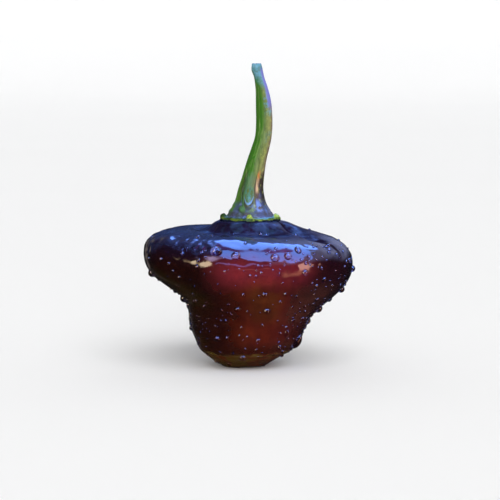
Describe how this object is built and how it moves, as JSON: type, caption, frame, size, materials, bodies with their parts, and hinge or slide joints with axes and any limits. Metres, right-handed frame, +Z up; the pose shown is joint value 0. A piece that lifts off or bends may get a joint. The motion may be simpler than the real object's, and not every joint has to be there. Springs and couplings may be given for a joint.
{
  "type": "cheiro roxa pepper",
  "caption": "Squat, wide-shouldered purple chilli pod standing on its blossom end, wet with dew, with a curved green stem and a toothed calyx.",
  "frame": {"origin": "on the ground, under the middle of the object's width and depth, which is the middle of the pod", "axes": "+Z up from the blossom end to the cut end of the stem, -Y towards the viewer of the picture, +X to the viewer's right"},
  "size_m": [0.036, 0.0322, 0.0516],
  "materials": {
    "pod_skin": "smooth, wet and glossy, blue-black to maroon skin with dew on it",
    "stem_green": "satin, faintly ribbed green stem flushed purple"
  },
  "bodies": {
    "root": {"pod": "pod_skin", "stem_and_calyx": "stem_green"}
  },
  "joints": []
}
